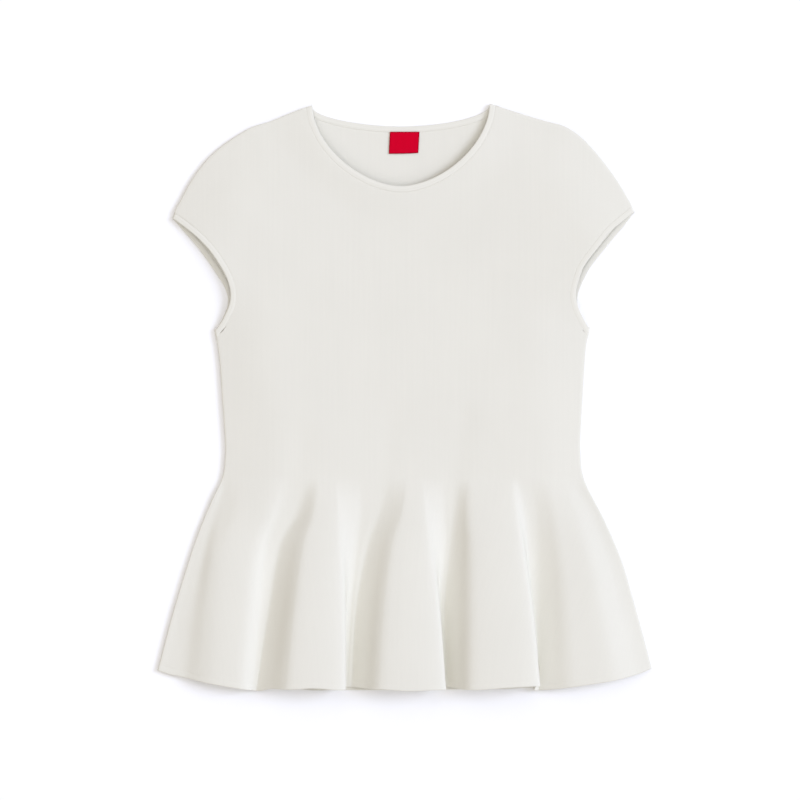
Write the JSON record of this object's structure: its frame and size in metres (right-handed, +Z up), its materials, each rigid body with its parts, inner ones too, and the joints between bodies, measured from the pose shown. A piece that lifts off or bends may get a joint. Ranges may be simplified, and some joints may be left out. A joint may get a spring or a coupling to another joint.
{
  "type": "peplum top",
  "caption": "Fine knit cap-sleeve top laid flat, with a round neck, linked bands and a fluted peplum hem.",
  "frame": {"origin": "middle of the base of the bounding box, on the surface that the top lies on", "axes": "+X to the wearer's left, which is the right of the picture, +Y from the hem towards the neck, +Z up off the surface, on the front's side"},
  "size_m": [0.5034, 0.598, 0.0257],
  "materials": {
    "knit": "matte off-white fine knit",
    "band": "matte off-white linked rib",
    "label": "red woven satin, plain"
  },
  "bodies": {
    "root": {"front_panel": "knit", "back_panel": "knit", "neck_band": "band", "armhole_band_left": "band", "armhole_band_right": "band", "neck_label": "label"}
  },
  "joints": []
}
